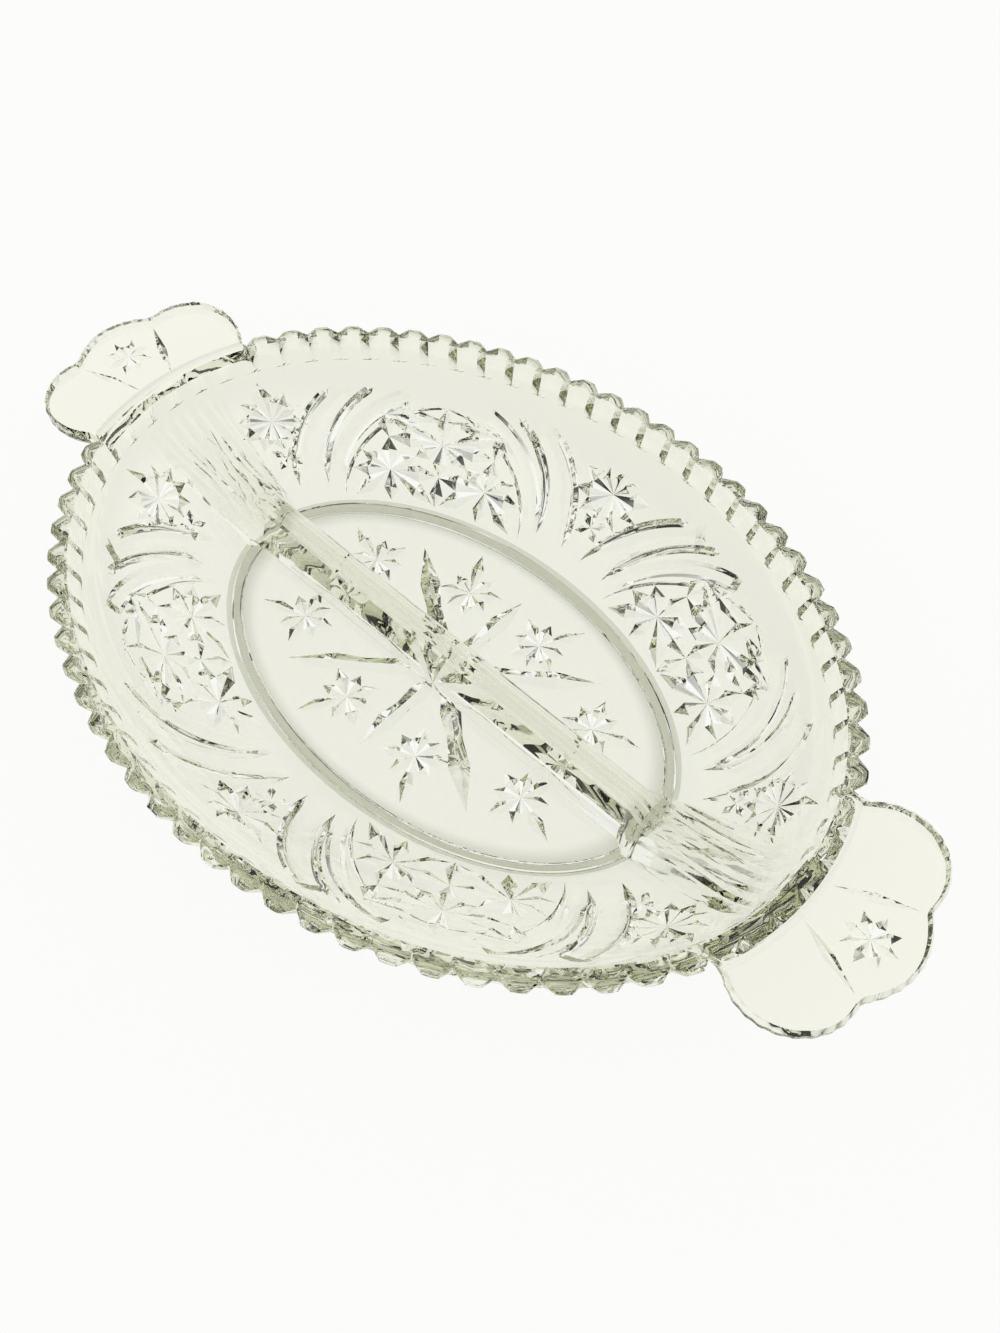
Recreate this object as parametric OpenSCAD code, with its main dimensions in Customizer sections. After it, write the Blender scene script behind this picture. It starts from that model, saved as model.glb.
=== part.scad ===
// Oval two-part relish tray of pressed glass, with a tab handle at each end.
// The tray is one piece of glass. Its moulded features are kept as separate solids that meet
// face to face: foot ring, base panel, side wall, fluted rim, divider, divider ends and handles.
// Millimetres, +Z up, length along X. The origin is under the middle of the tray, on the table.

/* [Bowl] */
// Length of the bowl at the rim, between the inner edges
bowl_len = 204.6; // [180:0.2:230]
// Width of the bowl at the rim, between the inner edges
bowl_wid = 151.2; // [135:0.2:170]
// Height of the rim's inner edge above the table
rim_h = 35.2; // [30:0.2:42]
// Thickness of the side wall
wall_t = 3.6; // [3:0.1:5]
// Thickness of the rim across the tips of the flutes
rim_t = 5.2; // [4:0.1:7]

/* [Floor and foot] */
// Length of the oval floor
floor_len = 135; // [120:1:145]
// Width of the oval floor
floor_wid = 82; // [72:1:90]
// Height of the floor's upper face above the table
floor_h = 4.8; // [4:0.1:7]
// Height of the foot ring
foot_h = 1.2; // [0.8:0.1:2]
// Width of the foot ring's flat
foot_w = 3.6; // [2:0.1:5]
// Distance from the floor's edge out to the foot ring's outer edge
foot_out = 1.6; // [0.8:0.1:2]

/* [Rim flutes] */
// Height above the table where the flutes run out
band_h = 26; // [22:0.5:29]
// Number of flutes around a quarter of the rim, counting those that a handle takes the place of
flutes = 17; // [12:1:22]
// Depth of the flutes at the top of the rim
flute_depth = 1.8; // [1:0.1:3]

/* [Wall pattern] */
// Depth of the star rays
ray_depth = 1.2; // [0.6:0.1:1.6]
// Greatest width of the star rays
ray_w = 3.6; // [2.4:0.1:4]
// Distance around the wall from the handle axis to the middle of an arch
arch_u = 63.9; // [58:0.1:70]
// Half of an arch's inner width at the foot of the wall
arch_half = 32; // [28:0.5:34]
// Rise of an arch's inner edge up the wall
arch_rise = 31; // [27:0.5:33]
// Width of the grooves that bound the arch bands
groove_w = 1.8; // [1.2:0.1:2.4]
// Depth of the grooves that bound the arch bands
groove_depth = 1; // [0.5:0.1:1.4]
// Distance between neighbouring stars around the wall
star_du = 15.5; // [14:0.1:17]
// Distance between rows of stars up the wall
star_dv = 9.4; // [8:0.1:10]
// Distance of the lower stars from the foot of the wall
star_v = 11; // [9:0.1:12]
// Distance up the wall to the stars beside the arches
gap_v = 27.5; // [25:0.5:29]
// Length of the rays of the stars beside the arches
gap_r = 9.5; // [7:0.5:10]
// Distance around the wall from the handle axis to the stars beside the handle
end_u = 18.4; // [16:0.2:22]

/* [Floor pattern] */
// Length of the long rays along the tray
ray_x = 56; // [45:1:58]
// Length of the short rays across the tray
ray_y = 29.5; // [26:0.5:31]
// Reach along the tray of the slanted rays
ray_dx = 32.5; // [28:0.5:36]
// Reach across the tray of the slanted rays
ray_dy = 25; // [22:0.5:27]
// Distance from the middle to the outer small stars along the tray
leaf_x = 39; // [36:0.5:42]
// Distance from the middle to the outer small stars across the tray
leaf_y = 13; // [12:0.5:14]
// Distance from the middle to the inner small stars along the tray
leaf_in_x = 12.5; // [11:0.5:14]
// Distance from the middle to the inner small stars across the tray
leaf_in_y = 22.5; // [21:0.5:24]
// Length of the small stars' short rays
leaf_r = 7.5; // [5:0.5:9]
// Greatest width of the small stars' rays
leaf_w = 2.6; // [1.8:0.1:3.2]
// Greatest width of the large star's rays
floor_ray_w = 5; // [3.5:0.1:6]
// Depth of all the rays in the floor
leaf_depth = 1.1; // [0.6:0.1:1.6]

/* [Divider] */
// Height of the divider above the floor
div_h = 15; // [10:0.5:18]
// Half of the divider's width at the floor
div_foot = 6.4; // [5:0.1:8]
// Radius of the divider's rounded crest
div_r = 3.4; // [2:0.1:4]
// Distance from the floor's end in to the end of the divider's straight part
div_in = 4.5; // [2:0.5:9]
// Half of the divider end's width where it leaves the straight part
end_w_in = 8.4; // [7.5:0.1:10]
// Half of the divider end's width at the rim
end_w_out = 12.5; // [10:0.1:13]
// Height of the divider's ends above the wall where they run into the rim
end_h = 1.4; // [0.8:0.1:2.5]

/* [Handles] */
// Reach of the handles past the rim's outer edge
handle_out = 24; // [20:0.2:28]
// Half of the handle's width
handle_half = 29.2; // [26:0.2:31]
// Thickness of the handles
handle_t = 4.4; // [3.5:0.1:5]
// Upward tilt of the handles in degrees
handle_tilt = 7; // [0:0.5:10]
// Half of the middle lobe's width at its outer edge
tab_half = 12.2; // [10:0.2:14]
// Half of the middle lobe's width at the rim
tab_root = 5; // [4:0.2:7]
// Radius of the outer lobes
lobe_r = 14; // [11:0.1:14.6]
// Distance from the tips of the outer lobes out to the tip of the middle lobe
lobe_back = 4.6; // [3:0.1:6]
// Distance that the handle's neck lies inside its widest line
neck_in = 3.2; // [2.5:0.1:5]
// Distance from the tip of the middle lobe in to its star
tab_star_in = 10.6; // [8:0.1:12]
// Length of the rays of the middle lobe's star
tab_star_r = 6; // [4:0.1:6.5]

/* [Hidden] */

glass = [0.86, 0.89, 0.80, 0.55];
// How far cuts run past the surface that they cut
overrun = 0.4;
// Facets of a full circle in the handles
$fn = 64;
// Columns of facets around the wall, and rows of facets up the wall and up the rim
cols = 80;
rows = 5;
rim_rows = 2;

floor_a = floor_len / 2;
floor_b = floor_wid / 2;
rim_a = bowl_len / 2;
rim_b = bowl_wid / 2;
run = (rim_a - floor_a + rim_b - floor_b) / 2;

// Control points of the wall's inner profile, as shares of its run and of its rise
wall_shares = [[0, 0], [0.36, 0.22], [0.9, 0.5], [1, 1]];
profile = [for (s = wall_shares) [run * s[0], floor_h + (rim_h - floor_h) * s[1]]];

function mix(a, b, t) = a + (b - a) * t;
function bez(c, t) =
    c[0] * pow(1 - t, 3) + 3 * c[1] * t * pow(1 - t, 2) + 3 * c[2] * t * t * (1 - t) + c[3] * pow(t, 3);
function bez_d(c, t) =
    3 * ((c[1] - c[0]) * pow(1 - t, 2) + 2 * (c[2] - c[1]) * t * (1 - t) + (c[3] - c[2]) * t * t);

// Wall profile at share t: inner face, unit normal that points out of the bowl, outer face
function thick(t) = mix(wall_t, rim_t, pow(t, 3));
function inner(t) = bez(profile, t);
function normal(t) = let (d = bez_d(profile, t)) [d[1], -d[0]] / norm(d);
function outer(t) = inner(t) + thick(t) * normal(t);

// Share of the profile at which the inner or the outer face reaches the height z, by halving
function inner_at(z, lo = 0, hi = 1, n = 24) =
    n == 0 ? (lo + hi) / 2
    : inner((lo + hi) / 2)[1] < z ? inner_at(z, (lo + hi) / 2, hi, n - 1)
    : inner_at(z, lo, (lo + hi) / 2, n - 1);
function outer_at(z, lo = 0, hi = 1, n = 24) =
    n == 0 ? (lo + hi) / 2
    : outer((lo + hi) / 2)[1] < z ? outer_at(z, (lo + hi) / 2, hi, n - 1)
    : outer_at(z, lo, (lo + hi) / 2, n - 1);

// Half axes of the oval whose edge lies r outside the floor's edge
function half_a(r) = floor_a + (rim_a - floor_a) * r / run;
function half_b(r) = floor_b + (rim_b - floor_b) * r / run;
function on_oval(r, z, th) = [half_a(r) * cos(th), half_b(r) * sin(th), z];
function column(i) = 360 * (i + 0.5) / cols;
function ring(p) = [for (i = [0:cols - 1]) on_oval(p[0], p[1], column(i))];

// Joins rings of n points into a solid, closed through the last ring or by flat ends
function flat_list(rings) = [for (r = rings, p = r) p];
function skin_faces(m, n, loop) = [
    for (j = [0:m - (loop ? 1 : 2)], i = [0:n - 1])
        let (k = (i + 1) % n, up = ((j + 1) % m) * n)
        let (a = j * n + i, b = j * n + k, c = up + i, d = up + k)
        each [[a, c, b], [b, c, d]]
];
module ring_loop(rings) {
    polyhedron(points = flat_list(rings), faces = skin_faces(len(rings), len(rings[0]), true));
}
module ring_stack(rings) {
    m = len(rings);
    n = len(rings[0]);
    polyhedron(
        points = flat_list(rings),
        faces = concat(
            skin_faces(m, n, false),
            [[for (i = [0:n - 1]) i]],
            [[for (i = [n - 1:-1:0]) (m - 1) * n + i]]
        )
    );
}

// Tables from distance around an oval to angle, and from distance up the outer face to share
steps = 72;
function arc_step(a, b, th, d) = norm([a * (cos(th + d) - cos(th)), b * (sin(th + d) - sin(th))]);
function arc_table(r) = [
    for (i = 0, s = 0, d = 90 / steps; i <= steps;
        s = s + arc_step(half_a(r), half_b(r), i * d, d), i = i + 1) [s, i * d]
];
around = arc_table(run / 2);
quarter = around[steps][0];
upward = [
    for (i = 0, s = 0; i <= steps; s = s + norm(outer((i + 1) / steps) - outer(i / steps)), i = i + 1)
        [s, i / steps]
];

// Point and outward normal of the outer face, u around from the handle axis and v up the wall
function angle_at(u) = lookup(u, around);
function share_at(v) = lookup(v, upward);
function wall_point(u, v) = let (p = outer(share_at(v))) on_oval(p[0], p[1], angle_at(u));
function wall_normal(u, v) =
    let (t = share_at(v), th = angle_at(u), n = normal(t), r = outer(t)[0])
    let (m = [half_b(r) * cos(th), half_a(r) * sin(th)])
    let (k = m / norm(m))
    [k[0] * n[0], k[1] * n[0], n[1]];

// A leaf cut: four outline points a, l, b, r on a face with outward normal n, and a keel below.
// It is widest and deepest at a share of the way from a to b.
peak_share = 0.6;
leaf_faces = [[0, 1, 3], [1, 2, 3], [1, 0, 4], [2, 1, 4], [3, 2, 4], [0, 3, 4]];
function leaf_points(a, l, b, r, n, depth) =
    let (m = (l + r) / 2, k = 1 + overrun / depth)
    concat([for (p = [a, l, b, r]) m + (p - m) * k + n * overrun], [m - n * depth]);

// A leaf on the outer face of the wall, from (u1, v1) to (u2, v2)
module wall_leaf(u1, v1, u2, v2, w = ray_w, depth = ray_depth) {
    um = mix(u1, u2, peak_share);
    vm = mix(v1, v2, peak_share);
    side = [v1 - v2, u2 - u1] * w / 2 / norm([u2 - u1, v2 - v1]);
    pts = leaf_points(
        wall_point(u1, v1), wall_point(um + side[0], vm + side[1]),
        wall_point(u2, v2), wall_point(um - side[0], vm - side[1]),
        wall_normal(um, vm), depth);
    hull() polyhedron(points = pts, faces = leaf_faces);
}

// A V groove on the outer face of the wall through the points path, tapered to both ends
module wall_groove(path, w = groove_w, depth = groove_depth) {
    m = len(path);
    rings = [
        for (i = [0:m - 1])
            let (p = path[i], d = path[min(i + 1, m - 1)] - path[max(i - 1, 0)])
            let (s = [-d[1], d[0]] / norm(d), k = pow(sin(180 * (i + 0.5) / m), 0.5))
            let (n = wall_normal(p[0], p[1]), e = k * w / 2 * (1 + overrun / depth))
            [
                wall_point(p[0] + s[0] * e, p[1] + s[1] * e) + n * overrun,
                wall_point(p[0] - s[0] * e, p[1] - s[1] * e) + n * overrun,
                wall_point(p[0], p[1]) - n * depth * k
            ]
    ];
    ring_stack(rings);
}

// Share of a ray's length left uncut at each end
ray_gap_share = 0.05;
module ray(u1, v1, u2, v2) {
    du = u2 - u1;
    dv = v2 - v1;
    wall_leaf(
        u1 + du * ray_gap_share, v1 + dv * ray_gap_share,
        u2 - du * ray_gap_share, v2 - dv * ray_gap_share
    );
}
// Lines of the arch, each as shares of its half width and rise, and an exponent
arch_line_shares = [[1, 1, 1.6], [1.15, 1.29, 2], [1.45, 1.43, 2]];
// Share of the way from an arch's top to its foot at which each line starts
arch_top_shares = [0.02, 0.51, 0.64];
arch_foot_share = 0.985;
arch_steps = 10;
function arch_point(s, f, h) =
    [arch_u + h * arch_half * s[0] * pow(f, 2 / s[2]), arch_rise * s[1] * pow(1 - f * f, 1 / s[2])];

// The stars between two arches and beside a handle
module side_stars() {
    for (d = [90:36:270])
        ray(quarter, gap_v, quarter + gap_r * cos(d), gap_v + gap_r * sin(d));
    for (d = [18:36:342])
        ray(end_u, gap_v, end_u + gap_r * cos(d), gap_v + gap_r * sin(d));
}

// Rays of the three stars inside an arch, from and to, in steps between stars from the middle one's foot
arch_ray_shares = [
    [[0, 1], [0, 2.1]], [[0, 1], [0, 0]], [[0, 0], [0, -0.9]], [[0, 1], [1.08, 1.7]],
    [[0, 1], [1, 1]], [[0, 1], [0.5, 0.5]], [[1, 0], [0, 0]], [[1, 0], [1.75, 0]],
    [[1, 0], [0.5, 0.5]], [[1, 0], [1.52, 0.55]], [[1, 0], [0.06, -0.85]], [[1, 0], [1, 1]],
    [[1, 0], [1, -0.95]], [[1, 0], [1.8, -0.85]], [[1, 1], [1.06, 1.66]], [[0, 1.72], [1.05, 1.72]]
];
module arch_stars() {
    for (s = arch_ray_shares, h = s[0][0] + s[1][0] == 0 ? [1] : [-1, 1])
        ray(
            arch_u + h * s[0][0] * star_du, star_v + s[0][1] * star_dv,
            arch_u + h * s[1][0] * star_du, star_v + s[1][1] * star_dv
        );
}
module arch_lines() {
    for (s = [0:len(arch_line_shares) - 1], h = [-1, 1])
        wall_groove([
            for (i = [0:arch_steps])
                arch_point(arch_line_shares[s], mix(arch_top_shares[s], arch_foot_share, i / arch_steps), h)
        ]);
}

module side_wall() {
    t0 = outer_at(floor_h);
    t1 = outer_at(band_h);
    s1 = inner_at(band_h);
    color(glass)
    difference() {
        ring_loop(concat(
            [for (i = [0:rows]) ring(outer(mix(t0, t1, i / rows)))],
            [for (i = [rows:-1:0]) ring(inner(s1 * i / rows))]
        ));
        for (mx = [0, 1], my = [0, 1])
            mirror([mx, 0, 0]) mirror([0, my, 0]) {
                arch_stars();
                arch_lines();
                side_stars();
            }
    }
}

// Flat plates bounded by ovals
module oval_plate(r, h) {
    linear_extrude(height = h)
        polygon([for (p = ring([r, 0])) [p[0], p[1]]]);
}

module foot_ring() {
    color(glass)
    difference() {
        oval_plate(foot_out, foot_h);
        translate([0, 0, -overrun]) oval_plate(foot_out - foot_w, foot_h + 2 * overrun);
    }
}

// Width left uncut at the middle of a star, and a small star's long and wide rays as shares
leaf_gap = 0.5;
leaf_long_share = 1.7;
leaf_small_share = 0.75;

// A leaf in the underside of the floor, between two points
module floor_leaf(c, q, w = leaf_w, depth = leaf_depth) {
    p = c + (q - c) * leaf_gap / norm(q - c);
    m = mix(p, q, peak_share);
    s = [p[1] - q[1], q[0] - p[0]] * w / 2 / norm(q - p);
    function down(a) = [a[0], a[1], foot_h];
    hull() polyhedron(
        points = leaf_points(down(p), down(m + s), down(q), down(m - s), [0, 0, -1], depth),
        faces = leaf_faces
    );
}
// A small star of eight leaves, with a longer leaf away from the middle of the tray
module floor_star(c) {
    away = atan2(c[1], c[0]);
    for (i = [0:7])
        let (r = leaf_r * (i == 0 ? leaf_long_share : 1), d = away + 45 * i)
            floor_leaf(c, c + r * [cos(d), sin(d)], w = leaf_w * leaf_small_share);
}

module base_panel() {
    t0 = outer_at(floor_h);
    color(glass)
    difference() {
        ring_stack([
            ring([foot_out, foot_h]),
            ring(outer(0)),
            ring(outer(t0))
        ]);
        for (h = [-1, 1]) {
            floor_leaf([0, 0], [h * ray_x, 0], w = floor_ray_w);
            floor_leaf([0, 0], [0, h * ray_y], w = floor_ray_w);
            for (k = [-1, 1]) {
                floor_leaf([0, 0], [h * ray_dx, k * ray_dy], w = floor_ray_w);
                floor_star([h * leaf_x, k * leaf_y]);
                floor_star([h * leaf_in_x, k * leaf_in_y]);
            }
        }
    }
}

// Wall columns on each side of a handle's middle, enough for the handle's neck to lie on them
root_x = half_a(outer(1)[0]);
root_z = outer(1)[1];
neck = handle_half - neck_in;
handle_cols = ceil(asin(neck / half_b(outer(outer_at(band_h))[0])) * cols / 360 + 1 / 2);

// Angles around the rim: the wall's own columns behind a handle, then a groove and a ridge a flute.
// A line within this share of half a flute's pitch from those columns is left out.
clear_share = 0.3;
rim_around = arc_table(outer(1)[0]);
half_pitch = rim_around[steps][0] / (2 * flutes);
handle_edge = lookup(column(handle_cols - 1), [for (e = rim_around) [e[1], e[0]]]);
side_first = ceil(handle_edge / half_pitch + clear_share);
side_last = 4 * flutes - side_first;
function side_angle(k) =
    k <= 2 * flutes ? lookup(k * half_pitch, rim_around) : 180 - side_angle(4 * flutes - k);
rim_angles = [
    for (turn = [0, 180])
        each concat(
            [for (i = [-handle_cols:handle_cols - 1]) turn + column(i)],
            [for (k = [side_first:side_last]) turn + side_angle(k)]
        )
];
rim_grooves = [
    for (turn = [0, 180])
        each concat(
            [for (i = [-handle_cols:handle_cols - 1]) 0],
            [for (k = [side_first:side_last]) (k + 1) % 2]
        )
];
// How fast the flutes deepen towards the top
flute_rise = 0.7;
function rim_ring(p, cut = 0) =
    [for (i = [0:len(rim_angles) - 1]) on_oval(p[0] - cut * rim_grooves[i], p[1], rim_angles[i])];

module rim_band() {
    t1 = outer_at(band_h);
    s1 = inner_at(band_h);
    color(glass)
    ring_loop(concat(
        [for (i = [0:rim_rows])
            rim_ring(outer(mix(t1, 1, i / rim_rows)), flute_depth * pow(i / rim_rows, flute_rise))],
        [for (i = [rim_rows:-1:0]) rim_ring(inner(mix(s1, 1, i / rim_rows)))]
    ));
}

// The divider: a drafted ridge with a rounded crest
div_end = floor_a - div_in;
module divider() {
    crest = [for (a = [0:15:180]) [div_r * cos(a), div_h - div_r + div_r * sin(a)]];
    color(glass)
    translate([0, 0, floor_h])
    rotate([90, 0, 90])
    linear_extrude(height = 2 * div_end, center = true)
        polygon(concat([[-div_foot, 0], [div_foot, 0]], crest));
}

// A wedge of the bowl's hollow, or of its filled outline, behind one handle
function wedge_ring(p) = concat(
    [[wedge_x, 0, p[1]]],
    [for (i = [-handle_cols:handle_cols - 1]) on_oval(p[0], p[1], column(i))]
);
// Where the wedges start, as a share of the floor
wedge_share = 0.6;
wedge_x = floor_a * wedge_share;
module hollow_wedge() {
    s1 = inner_at(band_h);
    ring_stack(concat(
        [for (i = [0:rows]) wedge_ring(inner(s1 * i / rows))],
        [for (i = [1:rim_rows]) wedge_ring(inner(mix(s1, 1, i / rim_rows)))]
    ));
}
module filled_wedge() {
    t1 = outer_at(band_h);
    ring_stack(concat(
        [for (i = [0:rim_rows]) wedge_ring(outer(mix(t1, 1, i / rim_rows)))],
        [wedge_ring(outer(1) + [0, 2 * handle_t])]
    ));
}

// Divider ends: width of the top as a share, how the crest falls, rounding at the rim, and stations
end_top_share = 0.8;
end_drop = 1.3;
end_round = 1.2;
end_steps = 8;

// The right end of the divider: a saddle that climbs the wall, wider and lower towards the rim
function end_station(t) = let (p = inner(t)) [half_a(p[0]), p[1]];
function end_section(x, z, f) = let (
        w = mix(div_r * end_top_share, end_w_out * end_top_share, f),
        base = mix(end_w_in, end_w_out, f),
        top = z + end_h + (div_h - end_h) * pow(1 - f, end_drop),
        round = mix(div_r, end_round, f)
    ) concat(
        [[x, -base, 0], [x, base, 0]],
        [for (a = [0:22.5:180]) [x, w * cos(a), top - round + round * sin(a)]]
    );
module divider_end() {
    x0 = div_end;
    x1 = end_station(1)[0];
    color(glass)
    intersection() {
        ring_stack(concat(
            [end_section(x0, floor_h, 0)],
            [for (i = [0:end_steps])
                let (q = end_station(i / end_steps)) end_section(q[0], q[1], (q[0] - x0) / (x1 - x0))]
        ));
        hollow_wedge();
    }
}
module divider_end_right() {
    divider_end();
}
module divider_end_left() {
    mirror([1, 0, 0]) divider_end();
}

// A tab handle in three lobes, drawn flat and then tilted up about its root
tip_x = root_x + handle_out;
lobe_y = handle_half - lobe_r;
// Half of the middle lobe's width at the middle of the outer lobes, as a share between its ends
tab_mid_share = 0.35;
tab_steps = 8;
module handle_outline() {
    lobe_x = tip_x - lobe_back - lobe_r;
    back_x = root_x - rim_t - handle_t;
    for (h = [-1, 1]) translate([lobe_x, h * lobe_y]) circle(r = lobe_r);
    polygon([[back_x, -neck], [lobe_x, -neck], [lobe_x, neck], [back_x, neck]]);
    tab_mid = mix(tab_root, tab_half, tab_mid_share);
    polygon(concat(
        [[lobe_x, tab_mid], [lobe_x, -tab_mid]],
        [for (i = [0:tab_steps]) let (s = 2 * i / tab_steps - 1) [tip_x - lobe_back * s * s, tab_half * s]]
    ));
}
// A leaf in the underside of the handle, between two points
module handle_leaf(p, q, w, depth = leaf_depth) {
    m = (p + q) / 2;
    s = [p[1] - q[1], q[0] - p[0]] * w / 2 / norm(q - p);
    polyhedron(
        points = leaf_points(
            [p[0], p[1], 0], [m[0] - s[0], m[1] - s[1], 0],
            [q[0], q[1], 0], [m[0] + s[0], m[1] + s[1], 0], [0, 0, -1], depth),
        faces = leaf_faces
    );
}
module handle() {
    star_x = tip_x - tab_star_in;
    color(glass)
    difference() {
        translate([root_x, 0, root_z - handle_t])
        rotate([0, -handle_tilt, 0])
        translate([-root_x, 0, 0])
        difference() {
            linear_extrude(height = handle_t) handle_outline();
            for (d = [0:45:315])
                handle_leaf(
                    [star_x + leaf_gap * cos(d), leaf_gap * sin(d)],
                    [star_x + tab_star_r * cos(d), tab_star_r * sin(d)], leaf_w * leaf_small_share);
            for (h = [-1, 1])
                handle_leaf(
                    [root_x + leaf_gap, h * tab_root],
                    [tip_x - lobe_back, h * tab_half], groove_w);
        }
        filled_wedge();
    }
}
module handle_right() {
    handle();
}
module handle_left() {
    mirror([1, 0, 0]) handle();
}

foot_ring();
base_panel();
side_wall();
rim_band();
divider();
divider_end_right();
divider_end_left();
handle_right();
handle_left();
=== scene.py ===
import math
import bmesh
import bpy
import numpy as np
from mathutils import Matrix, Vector
from mathutils.geometry import delaunay_2d_cdt


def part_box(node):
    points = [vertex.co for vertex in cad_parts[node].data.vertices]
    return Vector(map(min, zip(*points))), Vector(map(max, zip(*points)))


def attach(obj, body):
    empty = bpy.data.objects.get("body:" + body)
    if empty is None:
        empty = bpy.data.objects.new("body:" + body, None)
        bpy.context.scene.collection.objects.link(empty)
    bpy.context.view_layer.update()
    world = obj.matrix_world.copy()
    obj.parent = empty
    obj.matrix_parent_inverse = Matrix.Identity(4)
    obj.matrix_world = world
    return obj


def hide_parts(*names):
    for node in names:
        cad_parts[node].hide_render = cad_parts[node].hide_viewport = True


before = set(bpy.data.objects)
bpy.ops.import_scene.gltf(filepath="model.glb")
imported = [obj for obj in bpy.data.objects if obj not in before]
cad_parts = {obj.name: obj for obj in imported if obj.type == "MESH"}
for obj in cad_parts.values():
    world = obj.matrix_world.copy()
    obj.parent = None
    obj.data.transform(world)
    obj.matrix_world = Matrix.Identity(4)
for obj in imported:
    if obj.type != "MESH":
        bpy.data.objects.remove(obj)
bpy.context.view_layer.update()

# Bowl
# The tray is one piece of clear pressed glass. Its oval bowl has a smooth inner face, and an outer
# face that lies one wall's thickness outside it and carries the pattern. Lengths are in metres.
floor_len, floor_wid = 0.135, 0.082
bowl_len, bowl_wid = 0.2046, 0.1512
wall, rim_wall = 0.0036, 0.0052
floor_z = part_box("base_panel")[1][2]
foot_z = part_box("base_panel")[0][2]
rim_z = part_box("rim_band")[1][2]
flute_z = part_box("rim_band")[0][2]
run = (bowl_len - floor_len + bowl_wid - floor_wid) / 4
profile_shares = np.array([[0, 0], [0.36, 0.22], [0.9, 0.5], [1, 1]])
profile = profile_shares * [run, rim_z - floor_z] + [0, floor_z]


def mix(a, b, t):
    """The value a share t of the way from a to b."""
    return a + (b - a) * t


def inner_face(t):
    """Cubic Bezier curve of the wall's inner face: distance out from the floor's edge, and height."""
    t = np.asarray(t, float)[..., None]
    c = profile
    return c[0] * (1 - t) ** 3 + 3 * c[1] * t * (1 - t) ** 2 + 3 * c[2] * t * t * (1 - t) + c[3] * t ** 3


def out_normal(t):
    """Unit normal of that curve, turned a quarter from its tangent so that it points out of the bowl."""
    t = np.asarray(t, float)[..., None]
    c = profile
    d = (c[1] - c[0]) * (1 - t) ** 2 + 2 * (c[2] - c[1]) * t * (1 - t) + (c[3] - c[2]) * t * t
    d = d / np.linalg.norm(d, axis=-1, keepdims=True)
    return np.stack([d[..., 1], -d[..., 0]], -1)


def outer_face(t):
    """The inner face moved out along its normal by the thickness, which grows with the cube of t."""
    t = np.asarray(t, float)
    return inner_face(t) + mix(wall, rim_wall, t ** 3)[..., None] * out_normal(t)


def half_axes(r):
    """Half axes of the oval whose edge lies r outside the floor's edge."""
    a = floor_len / 2 + (bowl_len - floor_len) / 2 * r / run
    b = floor_wid / 2 + (bowl_wid - floor_wid) / 2 * r / run
    return a, b


def on_oval(r, z, angle):
    """Points at the given angles on the oval at distance r, at height z."""
    a, b = half_axes(r)
    return np.stack([a * np.cos(angle), b * np.sin(angle), z + 0 * angle * a], -1)


def running_length(points):
    """Distance along a row of points, from its start to each of them."""
    return np.concatenate([[0], np.cumsum(np.linalg.norm(np.diff(points, axis=0), axis=1))])


def oval_place(x, y):
    """Distance r and angle of the oval through each point, with r found by halving an interval."""
    low = np.full(np.shape(x), -floor_wid / 2)
    high = np.full(np.shape(x), 2 * run)
    for _ in range(40):
        r = (low + high) / 2
        a, b = half_axes(r)
        outside = (x / a) ** 2 + (y / b) ** 2 > 1
        low = np.where(outside, r, low)
        high = np.where(outside, high, r)
    a, b = half_axes(r)
    return r, np.arctan2(y / b, x / a)


samples = 2001
shares = np.linspace(0, 1, samples)
quarter_angles = np.linspace(0, math.pi / 2, samples)
around = running_length(on_oval(run / 2, 0, quarter_angles))
up_outer = running_length(outer_face(shares))
up_inner = running_length(inner_face(shares))
quarter = around[-1]
flute_v = np.interp(flute_z, outer_face(shares)[:, 1], up_outer)
patches = []


def keep(points, faces):
    """Stores a patch of the glass surface."""
    patches.append((np.asarray(points, float), np.asarray(faces, int)))


def strip(rows):
    """Triangles between neighbouring rows of points, where rows is an array of m rows by n columns."""
    m, n = rows.shape[:2]
    k = np.arange(m * n).reshape(m, n)
    a, b, c, d = k[:-1, :-1].ravel(), k[:-1, 1:].ravel(), k[1:, :-1].ravel(), k[1:, 1:].ravel()
    keep(rows.reshape(-1, 3), np.concatenate([np.stack([a, b, c], 1), np.stack([b, d, c], 1)]))


def split_line(points, step):
    """A line through the points, with more points put in so that none are further than step apart."""
    points = np.asarray(points, float)
    s = running_length(points)
    count = np.maximum(np.ceil(np.diff(s) / step).astype(int), 1)
    parts = [mix(s[i], s[i + 1], np.arange(n) / n) for i, n in enumerate(count)]
    where = np.concatenate(parts + [s[-1:]])
    return np.stack([np.interp(where, s, points[:, i]) for i in (0, 1)], 1)


def triangles(lines, fill, inside, gap):
    """Flat Delaunay triangles that keep every line as edges, with fill points where no line is near."""
    lined = np.concatenate(lines)
    far = np.concatenate([
        np.linalg.norm(part[:, None] - lined[None], axis=-1).min(1) for part in np.array_split(fill, 24)
    ])
    points = np.concatenate([lined, fill[far > gap]])
    ends = np.cumsum([len(line) for line in lines])
    first = np.setdiff1d(np.arange(ends[-1]), ends - 1)
    edges = np.stack([first, first + 1], 1)
    flat, _, faces, *_ = delaunay_2d_cdt((points * 1000).tolist(), edges.tolist(), [], 0, 1e-5, False)
    flat = np.array(flat) / 1000
    faces = np.array(faces)
    return flat, faces[inside(flat[faces].mean(1))]


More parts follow.
